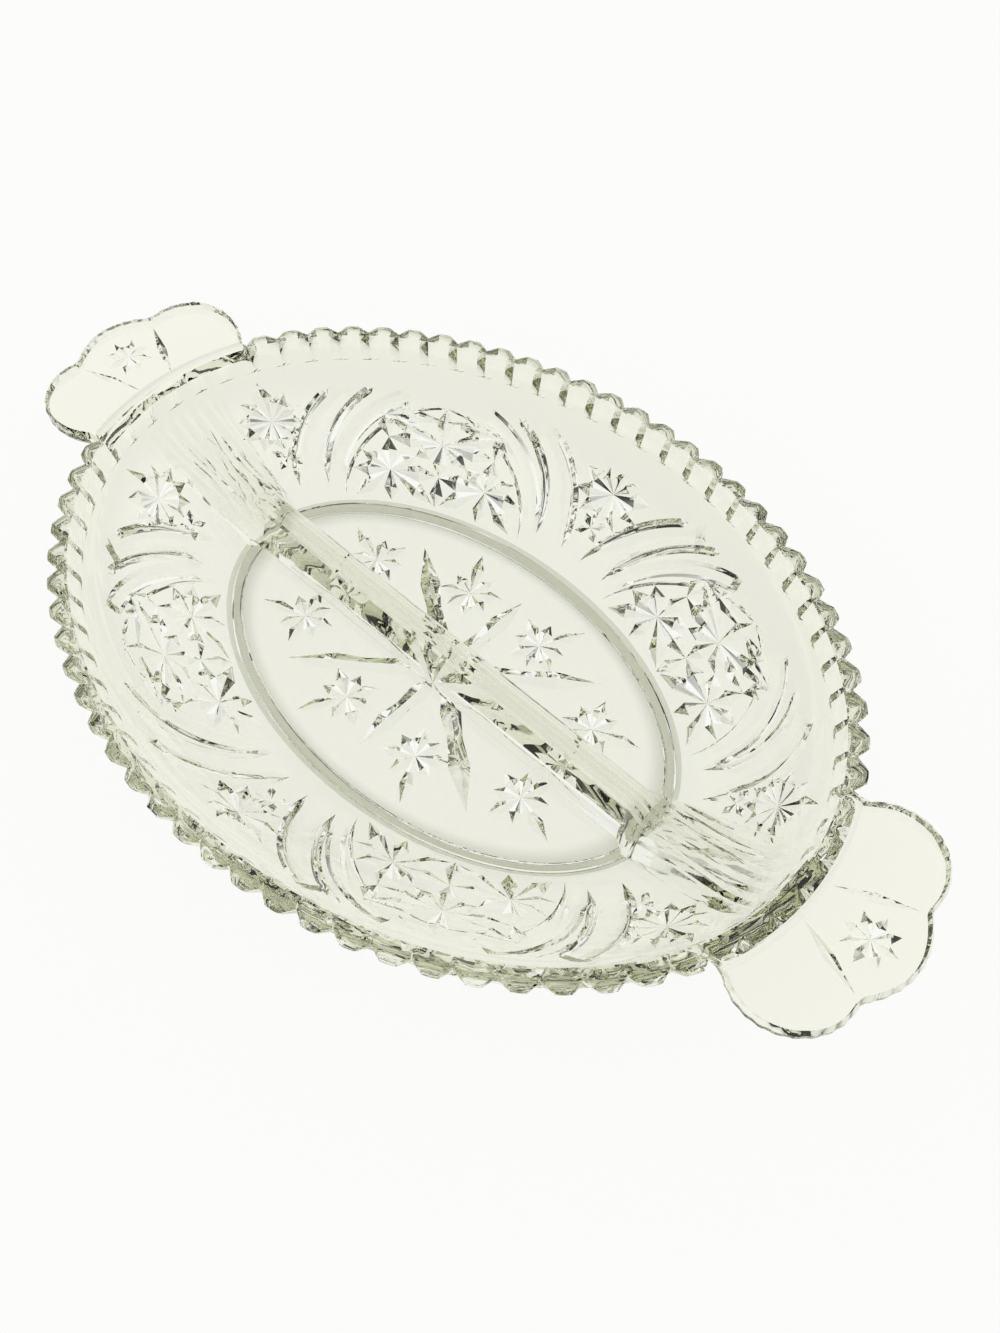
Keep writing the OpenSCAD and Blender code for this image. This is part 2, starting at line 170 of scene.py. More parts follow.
# Pattern of the wall
# Stars and ribbed arches are pressed into the outer face. Each ray of a star is a V cut with a
# kite's outline, widest towards its outer end. Three V grooves a side bound the arch's two ribs,
# and straight V cuts run up under the divider's ends.
ray_width, ray_depth, ray_peak_share = 0.0047, 0.002, 0.6
arch_u, arch_half, arch_rise = 0.0639, 0.032, 0.031
star_du, star_dv, star_v = 0.0155, 0.0094, 0.011
groove_width, groove_depth = 0.0023, 0.0016
rib_height, rib_halves = 0.0014, [0.0024, 0.0038]
gap_v, gap_ray = 0.0275, 0.0095
end_u = 0.0184
spark_v, spark_along, spark_up, spark_width = 0.0165, 0.005, 0.004, 0.0022
# Start, end and width of each straight cut under the divider's end
streaks = [
    ((0, 0.003), (0, 0.033), 0.0026),
    ((0.003, 0.0015), (0.0052, 0.0335), 0.003),
    ((0.0068, 0.0015), (0.0092, 0.0225), 0.003),
]
streak_peak_share = 0.35
# Start and end of each ray in an arch, in shares of star_du and star_dv
arch_ray_shares = [
    ((0, 1), (0, 2.1)), ((0, 1), (0, 0)), ((0, 0), (0, -0.9)), ((0, 1), (1.08, 1.7)),
    ((0, 1), (1, 1)), ((0, 1), (0.5, 0.5)), ((1, 0), (0, 0)), ((1, 0), (1.75, 0)),
    ((1, 0), (0.5, 0.5)), ((1, 0), (1.52, 0.55)), ((1, 0), (0.06, -0.85)), ((1, 0), (1, 1)),
    ((1, 0), (1, -0.95)), ((1, 0), (1.8, -0.85)), ((1, 1), (1.06, 1.66)), ((0, 1.72), (1.05, 1.72)),
]
# Each line of the arch as shares of its half width and rise, and the exponent of its oval
arch_line_shares = [(1, 1, 1.6), (1.15, 1.29, 2), (1.45, 1.43, 2)]
arch_start_shares = [0.02, 0.51, 0.64]
arch_end_share = 0.985


def kite(start, end, width=ray_width, depth=ray_depth, peak=ray_peak_share):
    """A V cut from start to end, as a row of numbers."""
    return [*start, *end, width, depth, peak]


def kite_lines(cuts, step):
    """Outline, keel and cross crease of each kite."""
    lines = []
    for x0, y0, x1, y1, width, _, peak in cuts:
        p, q = np.array([x0, y0]), np.array([x1, y1])
        side = np.array([y0 - y1, x1 - x0]) / math.hypot(x1 - x0, y1 - y0) * width / 2
        m = mix(p, q, peak)
        rows = [p, m + side, q, m - side, p], [p, m, q], [m + side, m, m - side]
        lines += [split_line(row, step) for row in rows]
    return lines


def kite_depths(points, cuts):
    """Depth below the face: it falls evenly from the keel to the outline, and to both ends."""
    deep = np.zeros(len(points))
    for x0, y0, x1, y1, width, depth, peak in cuts:
        length = math.hypot(x1 - x0, y1 - y0)
        e = np.array([x1 - x0, y1 - y0]) / length
        d = points - [x0, y0]
        along = d @ e / length
        across = np.abs(d @ [-e[1], e[0]])
        half = width / 2 * np.minimum(along / peak, (1 - along) / (1 - peak))
        deep = np.maximum(deep, (half - across) / (width / 2) * depth)
    return deep


def path_gap(points, path):
    """Distance of each point from a path, and the share of the path at the nearest place."""
    a, b = path[:-1], path[1:]
    s = ((points[:, None] - a) * (b - a)).sum(-1) / ((b - a) ** 2).sum(-1)
    s = np.clip(s, 0, 1)
    gap = np.linalg.norm(points[:, None] - a - s[..., None] * (b - a), axis=-1)
    i = gap.argmin(1)
    k = np.arange(len(points))
    return gap[k, i], (i + s[k, i]) / len(a)


def side_line(path, offset):
    """The path moved sideways by an offset at each of its points."""
    d = np.gradient(path, axis=0)
    d = d / np.linalg.norm(d, axis=1, keepdims=True)
    return path + np.stack([-d[:, 1], d[:, 0]], 1) * np.reshape(offset, (-1, 1))


def taper(share, fall_share=0.07):
    """1 along the middle of a path, and an even fall to 0 at both of its ends."""
    return np.clip(np.minimum(share, 1 - share) / fall_share, 0, 1)


def arch_path(line, start, side, count=34):
    """One side of a superellipse from a share of its half width near the top, down to the foot."""
    half, rise, power = line
    f = mix(start, arch_end_share, np.linspace(0, 1, count))
    return np.stack([
        arch_u + side * arch_half * half * f ** (2 / power),
        arch_rise * rise * (1 - f * f) ** (1 / power)
    ], 1)


wall_cuts = []
for (a0, b0), (a1, b1) in arch_ray_shares:
    for side in ((1,) if a0 == a1 == 0 else (1, -1)):
        start = (arch_u + side * a0 * star_du, star_v + b0 * star_dv)
        tip = (arch_u + side * a1 * star_du, star_v + b1 * star_dv)
        wall_cuts.append(kite(start, tip))
# Between the arches a star of ten rays stands over a spark of four. One pair is on the long side's
# middle line, where the mirror copies make its other half, and one is beside the divider's end.
for k in range(10):
    turn = math.radians(36 * k + 90)
    quarter_share = 0.77 if k in (0, 1, 9) else 1.1
    end_u_share = 1.25 if k == 0 else 0.95
    for centre, share in ((quarter, quarter_share), (end_u, end_u_share)):
        reach = gap_ray * share
        tip = (centre + reach * math.cos(turn), gap_v + reach * math.sin(turn))
        if centre == end_u or math.cos(turn) < 0.01:
            wall_cuts.append(kite((centre, gap_v), tip))
for k in range(4):
    turn = math.radians(90 * k + 45)
    for centre in (quarter, end_u):
        tip = (centre + spark_along * math.cos(turn), spark_v + spark_up * math.sin(turn))
        if centre == end_u or math.cos(turn) < 0.01:
            wall_cuts.append(kite((centre, spark_v), tip, spark_width))
for start, end, width in streaks:
    wall_cuts.append(kite(start, end, width, width / 2, streak_peak_share))
grooves = [
    arch_path(line, start, side)
    for line, start in zip(arch_line_shares, arch_start_shares) for side in (1, -1)
]
groove_shares = [0.45, 0.45, 1, 1, 1, 1]
# Each rib runs midway between two grooves of the same side
ribs = [((grooves[i] + grooves[i + 2]) / 2, rib_halves[i // 2]) for i in range(4)]


def wall_depths(points):
    """Depth of the wall's relief: the deepest cut or groove at a point, less the swell of the ribs."""
    deep = kite_depths(points, wall_cuts)
    for path, size in zip(grooves, groove_shares):
        gap, share = path_gap(points, path)
        half = groove_width / 2 * size * taper(share)
        deep = np.maximum(deep, (half - gap) / (groove_width / 2) * groove_depth)
    swell = np.zeros(len(points))
    for path, half in ribs:
        gap, share = path_gap(points, path)
        swell = np.maximum(swell, np.clip(1 - (gap / half) ** 2, 0, 1) * taper(share, fall_share=0.12))
    return deep - rib_height * swell


def wall_point(u, v, depth):
    """A point u round the wall from the handle's axis and v up its outer face, sunk in it by depth."""
    t = np.interp(v, up_outer, shares)
    angle = np.interp(u, around, quarter_angles)
    r, z = outer_face(t).T
    a, b = half_axes(r)
    k = np.stack([b * np.cos(angle), a * np.sin(angle)], 1)
    k = k / np.linalg.norm(k, axis=1, keepdims=True)
    n = out_normal(t)
    inward = np.stack([k[:, 0] * n[:, 0], k[:, 1] * n[:, 0], n[:, 1]], 1)
    return on_oval(r, z, angle) - inward * depth[:, None]


flutes = 17
flute_shares = np.array([0, 0.15, 0.31, 0.4, 0.5, 0.6, 0.69, 0.85])
flute_steps = len(flute_shares)
around_rim = running_length(on_oval(outer_face(1.0)[0], 0, quarter_angles))
pitch = around_rim[-1] / flutes
places = np.append((np.arange(flutes)[:, None] + flute_shares).ravel(), flutes)
top_angles = np.interp(places * pitch, around_rim, quarter_angles)
u_top = np.interp(top_angles, quarter_angles, around)
u_foot = np.linspace(0, quarter, 97)
cell, edge_gap = 0.0013, 0.0004
over_start, over_end = 0.001, 0.02
lines = kite_lines(wall_cuts, step=0.0022)
for path, size in zip(grooves, groove_shares):
    half = groove_width / 2 * size * taper(np.linspace(0, 1, len(path)))
    lines += [path, side_line(path, half), side_line(path, -half)]
for path, half in ribs:
    lines += [side_line(path, offset * half) for offset in (-1, -0.5, 0, 0.5, 1)]
v_side = np.linspace(0, flute_v, 24)
least, most = [-over_start, edge_gap], [quarter + over_end, flute_v - edge_gap]
lines = [np.clip(line, least, most) for line in lines]
lines += [
    np.stack([u_foot, 0 * u_foot], 1), np.stack([u_top, 0 * u_top + flute_v], 1),
    np.stack([0 * v_side, v_side], 1), np.stack([0 * v_side + quarter, v_side], 1),
]
fill = np.meshgrid(np.arange(cell, quarter, cell), np.arange(cell, flute_v - cell / 2, cell))
fill = np.stack(fill, -1).reshape(-1, 2)


def in_quarter(c):
    """Which points lie in a quarter of the wall, below the flutes."""
    return (c[:, 0] > 0) & (c[:, 0] < quarter) & (c[:, 1] > 0) & (c[:, 1] < flute_v)


flat, faces = triangles(lines, fill, in_quarter, gap=0.0008)
edge = (flat[:, 1] < 1e-6) | (flat[:, 1] > flute_v - 1e-6)
depth = np.where(edge, 0, wall_depths(flat))
wall_patch = wall_point(flat[:, 0], flat[:, 1], depth)
for mirror_x in (1, -1):
    for mirror_y in (1, -1):
        keep(wall_patch * [mirror_x, mirror_y, 1], faces)

# Fluted rim
# The top of the wall is pressed into upright flutes: blunt ribs with a V groove between them, which
# give the rim its saw-tooth outline. The rim's top is a little crowned.
flute_depth = 0.0026
# Half the groove's width in shares of the pitch, and the share of its depth that is a straight V
groove_half_share, groove_v_share = 0.31, 0.75
fade_len, flute_power = 0.0025, 0.4
flute_rows = 7
handle_rows = 4
handle_z = 0.0297
handle_flutes = 3
handle_column = flute_steps * handle_flutes
top_v = up_outer[-1]
under_v = np.interp(handle_z, outer_face(shares)[:, 1], up_outer)
angles = np.concatenate([
    top_angles, math.pi - top_angles[-2::-1],
    math.pi + top_angles[1:], 2 * math.pi - top_angles[-2:0:-1],
])
columns = len(angles)
half_turn, full_turn = 2 * flutes, 4 * flutes
along = np.concatenate([
    places, half_turn - places[-2::-1], half_turn + places[1:], full_turn - places[-2:0:-1],
])
from_groove = np.abs((along + 0.5) % 1 - 0.5)
v_cut = np.clip(1 - from_groove / groove_half_share, 0, 1)
notch = groove_v_share * v_cut + (1 - groove_v_share) * (1 - np.sin(math.pi * from_groove))
handle_gap = np.minimum(np.minimum(along, full_turn - along), np.abs(along - half_turn))
by_handle = handle_gap < handle_flutes - 1e-9
fade = np.where(by_handle, np.clip(1 - (handle_flutes - handle_gap) * pitch / fade_len, 0, 1), 1)
levels = np.concatenate([mix(flute_v, under_v, np.array([0, 0.1, 0.3, 0.6])),
                         mix(under_v, top_v, np.linspace(0, 1, flute_rows - handle_rows + 1))])
rim_rows = []
for v in levels:
    t = np.interp(v, up_outer, shares)
    r, z = outer_face(t)
    rise = ((v - flute_v) / (top_v - flute_v)) ** flute_power
    share = (v - flute_v) / (under_v - flute_v)
    low = 1 - np.clip(share, 0, 1) ** 3
    window = np.where(by_handle, np.maximum(fade, low), 1)
    rim_rows.append(on_oval(r - flute_depth * rise * notch * window, z, angles))
rim_rows = np.array(rim_rows)
closed = np.concatenate([rim_rows, rim_rows[:, :1]], 1)
strip(closed[:handle_rows + 1])
upper = closed[handle_rows:]
strip(upper[:, handle_column:columns // 2 - handle_column + 1])
strip(upper[:, columns // 2 + handle_column:columns - handle_column + 1])
r, z = inner_face(1.0)
rim_edge = on_oval(r, z, angles)
rim_shares = [0, 0.12, 0.5, 0.88, 1]
rim_crown = [0, 0.00025, 0.0005, 0.0003, 0]
top_rows = np.array([mix(rim_rows[-1], rim_edge, s) + [0, 0, c] for s, c in zip(rim_shares, rim_crown)])
strip(np.concatenate([top_rows, top_rows[:, :1]], 1))

# Inner face, floor and divider
# The bowl is smooth inside. A ridge with draft divides it along the middle, and its ends widen into
# saddles that climb the wall to the rim. Three V lines a side run along the ridge and the saddles.
divider_half, divider_top = 0.063, 0.015
divider_base = 0.0064
saddle_in, saddle_out, saddle_rim = 0.0084, 0.0125, 0.0018
# Exponents of the climb, and of the superellipse across the ridge and across a saddle
climb_power, ridge_powers, saddle_powers = 1.3, (1.8, 0.74), (6, 0.45)
crest_half, crest_tip, crest_height, crest_end_share = 0.0036, 0.0002, 0.0009, 0.76
# Each rate is 1 over the share of a divider's end in which that change is made
widen_rate, power_rate, round_rate = 10, 1.6, 2
crest_in_rate, crest_out_rate, line_out_rate = 20, 9, 6
skirt_slope, skirt_drop = 60, 0.001
fillet = 0.0007
line_depth = 0.0009
# Places across the divider, in shares of its half width, and the share of line_depth cut at each
side_shares = [0, 0.07, 0.15, 0.23, 0.35, 0.45, 0.55, 0.65, 0.74, 0.82, 0.88, 0.93, 0.97, 1, 1.05]
line_shares = [0, 0, 1, 0, 0, 1.1, 0, 0, 1, 0, 0, 0, 0, 0, 0]
rim_x = bowl_len / 2


def bowl_height(x, y):
    """Height of the bowl's inner face above a point: flat on the floor, then up the wall's curve."""
    r, _ = oval_place(x, y)
    return np.interp(r, inner_face(shares)[:, 0], inner_face(shares)[:, 1])


def end_share(x):
    """0 along the divider's middle part, growing evenly to 1 from each end of it out to the rim."""
    return np.clip((np.abs(x) - divider_half) / (rim_x - divider_half), 0, 1)


def base_half(f):
    """Half width of the divider at its foot, at an end share f: even, then widening to the rim."""
    return mix(divider_base, mix(saddle_in, saddle_out, f), np.clip(f * widen_rate, 0, 1))


def divider_height(x, y):
    """A superellipse across the tray, as wide and as high as its place along the tray asks, with a
    tapered crest on each saddle and less the V lines. Beyond its foot it drops away steeply."""
    f = end_share(x)
    base = base_half(f)
    beside = np.abs(y) / base
    tall = mix(saddle_rim, divider_top, (1 - f) ** climb_power)
    power = mix(ridge_powers[0], saddle_powers[0], np.clip(power_rate * f, 0, 1))
    across = np.clip(1 - np.abs(y / base) ** power, 0, None)
    rounded = across ** mix(ridge_powers[1], saddle_powers[1], np.clip(round_rate * f, 0, 1))
    crest_base = mix(crest_half, crest_tip, np.clip(f / crest_end_share, 0, 1))
    crest = crest_height * np.clip(1 - np.abs(y) / crest_base, 0, 1)
    crest = crest * np.clip((crest_end_share - f) * crest_out_rate, 0, 1)
    crest = crest * np.clip(f * crest_in_rate, 0, 1)
    lift = tall * rounded + crest
    skirt = np.clip((beside - 1) * skirt_slope, 0, None) * skirt_drop
    lines = np.interp(beside, side_shares, line_shares) * line_depth * base / saddle_out
    lines = lines * np.clip((1 - f) * line_out_rate, 0, 1)
    return bowl_height(x, 0 * y) + lift - skirt - lines


def inside_height(x, y):
    """The higher of the bowl and the divider, with a small fillet where they meet."""
    a, b = bowl_height(x, y), divider_height(x, y)
    return (a + b + np.sqrt((a - b) ** 2 + fillet ** 2)) / 2


def opened(x, y):
    """Plan points moved outward so that the wall lies flat and the triangles are even on it."""
    r, angle = oval_place(x, y)
    w = np.where(r > 0, np.interp(r, inner_face(shares)[:, 0], up_inner), r)
    return on_oval(w, 0, angle)[..., :2]


def closed_again(points):
    """Plan points of the opened ones."""
    w, angle = oval_place(points[:, 0], points[:, 1])
    r = np.where(w > 0, np.interp(w, up_inner, inner_face(shares)[:, 0]), w)
    return on_oval(r, 0, angle)[:, :2]


# Rings of points, each turned against the next, fill the opened face. They are twice as far apart in
# the middle of the floor, and leave out the divider's place, which its own lines fill.
fine, ring_twist = 0.0014, 400
centre_w, coarse_w = -0.0408, -0.006
divider_clear = 1.05 * mix(divider_base, saddle_out, 0.3)
ring_points = []
for w in np.arange(centre_w, up_inner[-1] - fine / 2, fine):
    step = fine if w > coarse_w else 2 * fine
    if w > coarse_w or int(round(w / fine)) % 2 == 0:
        a, b = half_axes(w)
        count = max(int(2 * math.pi * math.sqrt((a * a + b * b) / 2) / step), 6)
        turns = np.arange(count) / count * 2 * math.pi + w * ring_twist
        ring_points.append(on_oval(w, 0, turns)[:, :2])
fill = np.concatenate(ring_points)
plan = closed_again(fill)
fill = fill[np.abs(plan[:, 1]) > divider_clear]
lines = []
station, rim_gap, within_share = 0.0015, 0.0007, 0.9985
stations = np.concatenate([np.arange(0, rim_x - station, station), [rim_x - rim_gap]])
stations = np.concatenate([-stations[:0:-1], stations])
a, b = half_axes(run)
for share in side_shares:
    for side in ((1,) if share == 0 else (1, -1)):
        y = side * base_half(end_share(stations)) * share
        within = (stations / a) ** 2 + (y / b) ** 2 < within_share
        lines.append(opened(stations[within], y[within]))
a, b = half_axes(up_inner[-1])
lines.append(np.stack([a * np.cos(np.append(angles, 0)), b * np.sin(np.append(angles, 0))], 1))
floor_angles = np.arange(385) / 384 * 2 * math.pi
lines += [on_oval(w, 0, floor_angles)[:, :2] for w in (0, 0.0006)]
flat, faces = triangles(lines, fill, lambda c: (c[:, 0] / a) ** 2 + (c[:, 1] / b) ** 2 < 1, gap=0.0007)
rim_place = np.abs((flat[:, 0] / a) ** 2 + (flat[:, 1] / b) ** 2 - 1) < 2e-6
plan = closed_again(flat)
height = inside_height(plan[:, 0], plan[:, 1])
height = np.where(rim_place, rim_z, np.minimum(height, rim_z))
r, z = inner_face(1.0)
fixed = on_oval(r, z, oval_place(flat[:, 0], flat[:, 1])[1])
keep(np.where(rim_place[:, None], fixed, np.column_stack([plan, height])), faces)

# Foot ring and floor
# The tray stands on a low oval ring. Inside the ring the underside of the floor carries one large
# star, whose rays are V cuts, and eight small stars around it.
foot_out, foot_width, foot_round = 0.0016, 0.0036, 0.001
# How far from the ring's inner or outer edge, and how high, in shares of foot_round
foot_in_shares = [(0.1, 0.8), (0.4, 0.3), (0.9, 0)]
foot_out_shares = [(0.9, 0), (0.4, 0.2), (0.1, 0.5), (0, 1)]
first = np.interp(u_foot, around, quarter_angles)
foot_angles = np.concatenate([
    first, math.pi - first[-2::-1], math.pi + first[1:], 2 * math.pi - first[-2::-1],
])
foot_in = foot_out - foot_width
foot_profile = [(foot_in, foot_z)]
foot_profile += [(foot_in + x * foot_round, z * foot_round) for x, z in foot_in_shares]
foot_profile += [(foot_out - x * foot_round, z * foot_round) for x, z in foot_out_shares]
foot_profile.append(tuple(outer_face(0.0)))
strip(np.array([on_oval(r, z, foot_angles) for r, z in foot_profile]))
# Each ray of the large star is two kites over each other, widest near its start and near its tip
star_width, star_depth, star_peak_shares = 0.0054, 0.0022, (0.3, 0.7)
star_x, star_y, star_slant = 0.056, 0.0295, (0.0325, 0.025)
leaf_reach, leaf_width, leaf_depth = 0.0075, 0.0034, 0.0014
leaf_shares = [1.75, 0.95, 1.2, 0.95, 1.1, 0.95, 1.2, 0.95]
leaf_places = (0.039, 0.013), (0.0125, 0.0225)
floor_cuts = []
for side in (1, -1):
    for peak in star_peak_shares:
        floor_cuts.append(kite((0, 0), (side * star_x, 0), star_width, star_depth, peak))
        floor_cuts.append(kite((0, 0), (0, side * star_y), star_width, star_depth, peak))
        for up in (1, -1):
            tip = (side * star_slant[0], up * star_slant[1])
            floor_cuts.append(kite((0, 0), tip, star_width, star_depth, peak))
    for up in (1, -1):
        for x, y in leaf_places:
            centre = (side * x, up * y)
            away = math.atan2(up * y, side * x)
            for k, share in enumerate(leaf_shares):
                reach = leaf_reach * share
                turn = away + math.pi / 4 * k
                tip = (centre[0] + reach * math.cos(turn), centre[1] + reach * math.sin(turn))
                floor_cuts.append(kite(centre, tip, leaf_width, leaf_depth))
lines = kite_lines(floor_cuts, step=0.004)
lines.append(on_oval(foot_in, 0, foot_angles)[:, :2])
a, b = half_axes(foot_in)
grid_half, grid_step, grid_share = 0.066, 0.003, 0.96
grid = np.arange(-grid_half, grid_half + grid_step / 2, grid_step)
fill = np.stack(np.meshgrid(grid, grid), -1).reshape(-1, 2)
fill = fill[(fill[:, 0] / a) ** 2 + (fill[:, 1] / b) ** 2 < grid_share]
flat, faces = triangles(lines, fill, lambda c: (c[:, 0] / a) ** 2 + (c[:, 1] / b) ** 2 < 1, gap=0.0008)
keep(np.column_stack([flat, foot_z + kite_depths(flat, floor_cuts)]), faces)

# Handles
# Each end has a tab handle in three lobes, pressed in one with the rim. It tilts up a little. The
# middle lobe has a star cut in its underside, and two grooves part it from the outer lobes.
tip_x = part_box("handle_right")[1][0]
tip_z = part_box("handle_right")[1][2]
lobe_x, lobe_y, lobe_r = 0.1126, 0.0152, 0.014
lobe_from, lobe_to = math.radians(118), math.radians(-12)
dip_out, dip_side, top_gap = 0.0026, 0.0002, 0.0003
tab_half, tab_root, tab_x = 0.0122, 0.005, tip_x - 0.0046
tab_star, tab_ray, tab_ray_width, tab_ray_depth = 0.1206, 0.0062, 0.0024, 0.0012
parting_start, parting_width, parting_depth = 0.1085, 0.0024, 0.0014
parting_tip = (tab_x - 0.002, tab_half - 0.0006)
edge_round, bead_pitch, bead_share = 0.0008, 0.0034, 0.13
root_fade, edge_fade = 0.008, 0.004
grid_from, grid_to, grid_half, grid_step = 0.1, 0.133, 0.0296, 0.0016
root = on_oval(outer_face(1.0)[0], outer_face(1.0)[1], 0.0)
rise = (tip_z - root[2] - top_gap) / (tip_x - root[0])


def handle_outline(start):
    """Half of the handle's outline in plan: from its root on the rim, in a small dip and an arc round
    the outer lobe, and in a parabola to the tip. Three rounds of averaging soften the corners."""
    dip = start + [dip_out, dip_side]
    turn = np.linspace(lobe_from, lobe_to, 44)
    lobe = np.stack([lobe_x + lobe_r * np.cos(turn), lobe_y + lobe_r * np.sin(turn)], 1)
    tab = np.linspace(tab_half, 0, 16)
    tab = np.stack([tab_x + (tip_x - tab_x) * (1 - (tab / tab_half) ** 2), tab], 1)
    line = split_line(np.concatenate([[start, dip], lobe, tab]), step=0.0008)
    for _ in range(3):
        line[1:-1] = (line[:-2] + line[1:-1] + line[2:]) / 3
    line[-1, 1] = 0
    return line


root_columns = np.arange(-handle_column, handle_column + 1) % columns
top_root = rim_rows[-1][root_columns]
under_root = rim_rows[handle_rows][root_columns]
half_line = handle_outline(top_root[-1, :2])
widest = np.concatenate([half_line, half_line[-2::-1] * [1, -1]])
s = running_length(widest)
from_root = np.minimum(s, s[-1] - s)
near_root = np.clip(1 - from_root / root_fade, 0, 1)[:, None]
inward = np.gradient(widest, axis=0)
inward = np.stack([inward[:, 1], -inward[:, 0]], 1) / np.linalg.norm(inward, axis=1, keepdims=True)
inset = edge_round * np.clip(from_root / edge_fade, 0, 1)[:, None] * inward
outline = widest + inset
shift_ends = under_root[[0, -1], :2] - top_root[[0, -1], :2]
shift = np.where(outline[:, 1:] > 0, shift_ends[1], shift_ends[0])
under_outline = outline + shift * near_root


def handle_height(points, root_line, z):
    """Height above the root, which grows evenly with the distance from it along the tray."""
    order = np.argsort(root_line[:, 1])
    x = np.interp(points[:, 1], root_line[order, 1], root_line[order, 0])
    return z + np.clip(points[:, 0] - x, 0, None) * rise


def in_outline(line):
    """A test of which points lie inside a closed line, by counting crossings."""
    def test(c):
        x, y = c[:, :1], c[:, 1:]
        x0, y0 = line[:, 0], line[:, 1]
        x1, y1 = np.roll(x0, -1), np.roll(y0, -1)
        crosses = (y0 > y) != (y1 > y)
        at = x0 + (y - y0) * (x1 - x0) / np.where(y1 == y0, 1, y1 - y0)
        return (crosses & (x < at)).sum(1) % 2 == 1
    return test


tab_cuts = []
for k in range(8):
    turn = k * math.pi / 4
    tip = (tab_star + tab_ray * math.cos(turn), tab_ray * math.sin(turn))
    tab_cuts.append(kite((tab_star, 0), tip, tab_ray_width, tab_ray_depth))
for side in (1, -1):
    start, tip = (parting_start, side * tab_root), (parting_tip[0], side * parting_tip[1])
    tab_cuts.append(kite(start, tip, parting_width, parting_depth, peak=0.5))
grid_x = np.arange(grid_from, grid_to, grid_step)
grid_y = np.arange(-grid_half, grid_half + grid_step / 2, grid_step)
grid = np.stack(np.meshgrid(grid_x, grid_y), -1).reshape(-1, 2)
handle_faces = []
for line, root_line, z, cuts in (
    (outline, top_root, root[2], []), (under_outline, under_root, under_root[0, 2], tab_cuts),
):
    loop = np.concatenate([line, root_line[1:, :2]])
    test = in_outline(loop)
    inner_fill = grid[test(grid)]
    flat, faces = triangles([loop] + kite_lines(cuts, step=0.003), inner_fill, test, gap=0.0007)
    heights = handle_height(flat, root_line[:, :2], z)
    if cuts:
        heights = heights + kite_depths(flat, cuts)
    handle_faces.append((np.column_stack([flat, heights]), faces))
top_edge = np.column_stack([outline, handle_height(outline, top_root[:, :2], root[2])])
under_z = handle_height(under_outline, under_root[:, :2], under_root[0, 2])
under_edge = np.column_stack([under_outline, under_z])
levels = np.linspace(0, 1, flute_rows - handle_rows + 1)[:, None, None]
edge_rows = mix(under_edge, top_edge, levels)
swell = np.sin(np.pi * levels) / math.sin(math.pi / 3)
beads = 1 - bead_share + bead_share * np.cos(2 * np.pi * s / bead_pitch)[:, None]
edge_rows[..., :2] -= swell * beads * inset
edge_rows[:, 0] = rim_rows[handle_rows:, handle_column]
edge_rows[:, -1] = rim_rows[handle_rows:, columns - handle_column]
for mirror in (1, -1):
    for points, faces in handle_faces:
        keep(points * [mirror, 1, 1], faces)
    strip(edge_rows * [mirror, 1, 1])

# Glass
# All the patches are joined into one closed skin, because the tray is one piece of glass. The
# creases of the pattern stay sharp and the rest is smooth, as after fire polishing.
crease, weld_gap = math.radians(16), 4e-6
points = np.concatenate([p for p, _ in patches])
offsets = np.cumsum([0] + [len(p) for p, _ in patches[:-1]])
faces = np.concatenate([f + o for (_, f), o in zip(patches, offsets)])
mesh = bpy.data.meshes.new("tray_glass")
mesh.from_pydata(points.tolist(), [], faces.tolist())
tray = bpy.data.objects.new("tray_glass", mesh)
bpy.context.scene.collection.objects.link(tray)
work = bmesh.new()
work.from_mesh(mesh)
bmesh.ops.remove_doubles(work, verts=work.verts, dist=weld_gap)
bmesh.ops.dissolve_degenerate(work, dist=1e-6, edges=work.edges)
bmesh.ops.recalc_face_normals(work, faces=work.faces)
work.to_mesh(mesh)
work.free()
mesh.shade_smooth()
mesh.set_sharp_from_angle(angle=crease)
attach(tray, "root")
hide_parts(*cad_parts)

glass = bpy.data.materials.new("pressed_glass")
glass.use_nodes = True
nodes, links = glass.node_tree.nodes, glass.node_tree.links
nodes.clear()
out = nodes.new("ShaderNodeOutputMaterial")
shader = nodes.new("ShaderNodeBsdfPrincipled")
shader.inputs["Transmission Weight"].default_value = 1.0
shader.inputs["IOR"].default_value = 1.5
volume = nodes.new("ShaderNodeVolumeAbsorption")
volume.inputs["Color"].default_value = (0.66, 0.68, 0.4, 1)
volume.inputs["Density"].default_value = 14
links.new(shader.outputs["BSDF"], out.inputs["Surface"])
links.new(volume.outputs["Volume"], out.inputs["Volume"])

# Faint waves and a little uneven haze are left by the mould and the fire polish
place = nodes.new("ShaderNodeTexCoord")
waves = nodes.new("ShaderNodeTexNoise")
waves.inputs["Scale"].default_value = 90
waves.inputs["Detail"].default_value = 2
bump = nodes.new("ShaderNodeBump")
bump.inputs["Strength"].default_value = 0.07
bump.inputs["Distance"].default_value = 0.0004
haze = nodes.new("ShaderNodeMapRange")
haze.inputs["To Min"].default_value = 0.0
haze.inputs["To Max"].default_value = 0.03
links.new(place.outputs["Object"], waves.inputs["Vector"])
links.new(waves.outputs["Fac"], bump.inputs["Height"])
links.new(waves.outputs["Fac"], haze.inputs["Value"])
links.new(bump.outputs["Normal"], shader.inputs["Normal"])
links.new(haze.outputs["Result"], shader.inputs["Roughness"])

